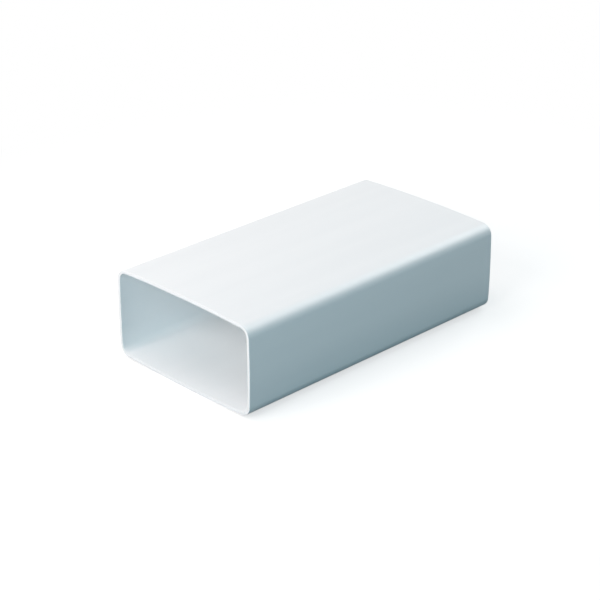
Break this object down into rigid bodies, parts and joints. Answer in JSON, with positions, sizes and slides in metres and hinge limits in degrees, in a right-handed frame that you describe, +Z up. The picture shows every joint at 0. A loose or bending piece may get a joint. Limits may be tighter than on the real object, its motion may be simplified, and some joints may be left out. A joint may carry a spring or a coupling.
{
  "type": "flat channel duct",
  "caption": "Straight rigid plastic ventilation duct of flat rectangular section with rounded corners and slightly bowed walls, open at both ends to carry air.",
  "frame": {"origin": "on the floor under the middle of the duct, at the lowest line of its bowed underside", "axes": "+X across the width, +Y along the length, the way that air flows, +Z up through the height"},
  "size_m": [0.1106, 0.2, 0.0572],
  "materials": {
    "white_pvc": "smooth extruded satin"
  },
  "bodies": {
    "root": {"duct_channel": "white_pvc"}
  },
  "joints": []
}
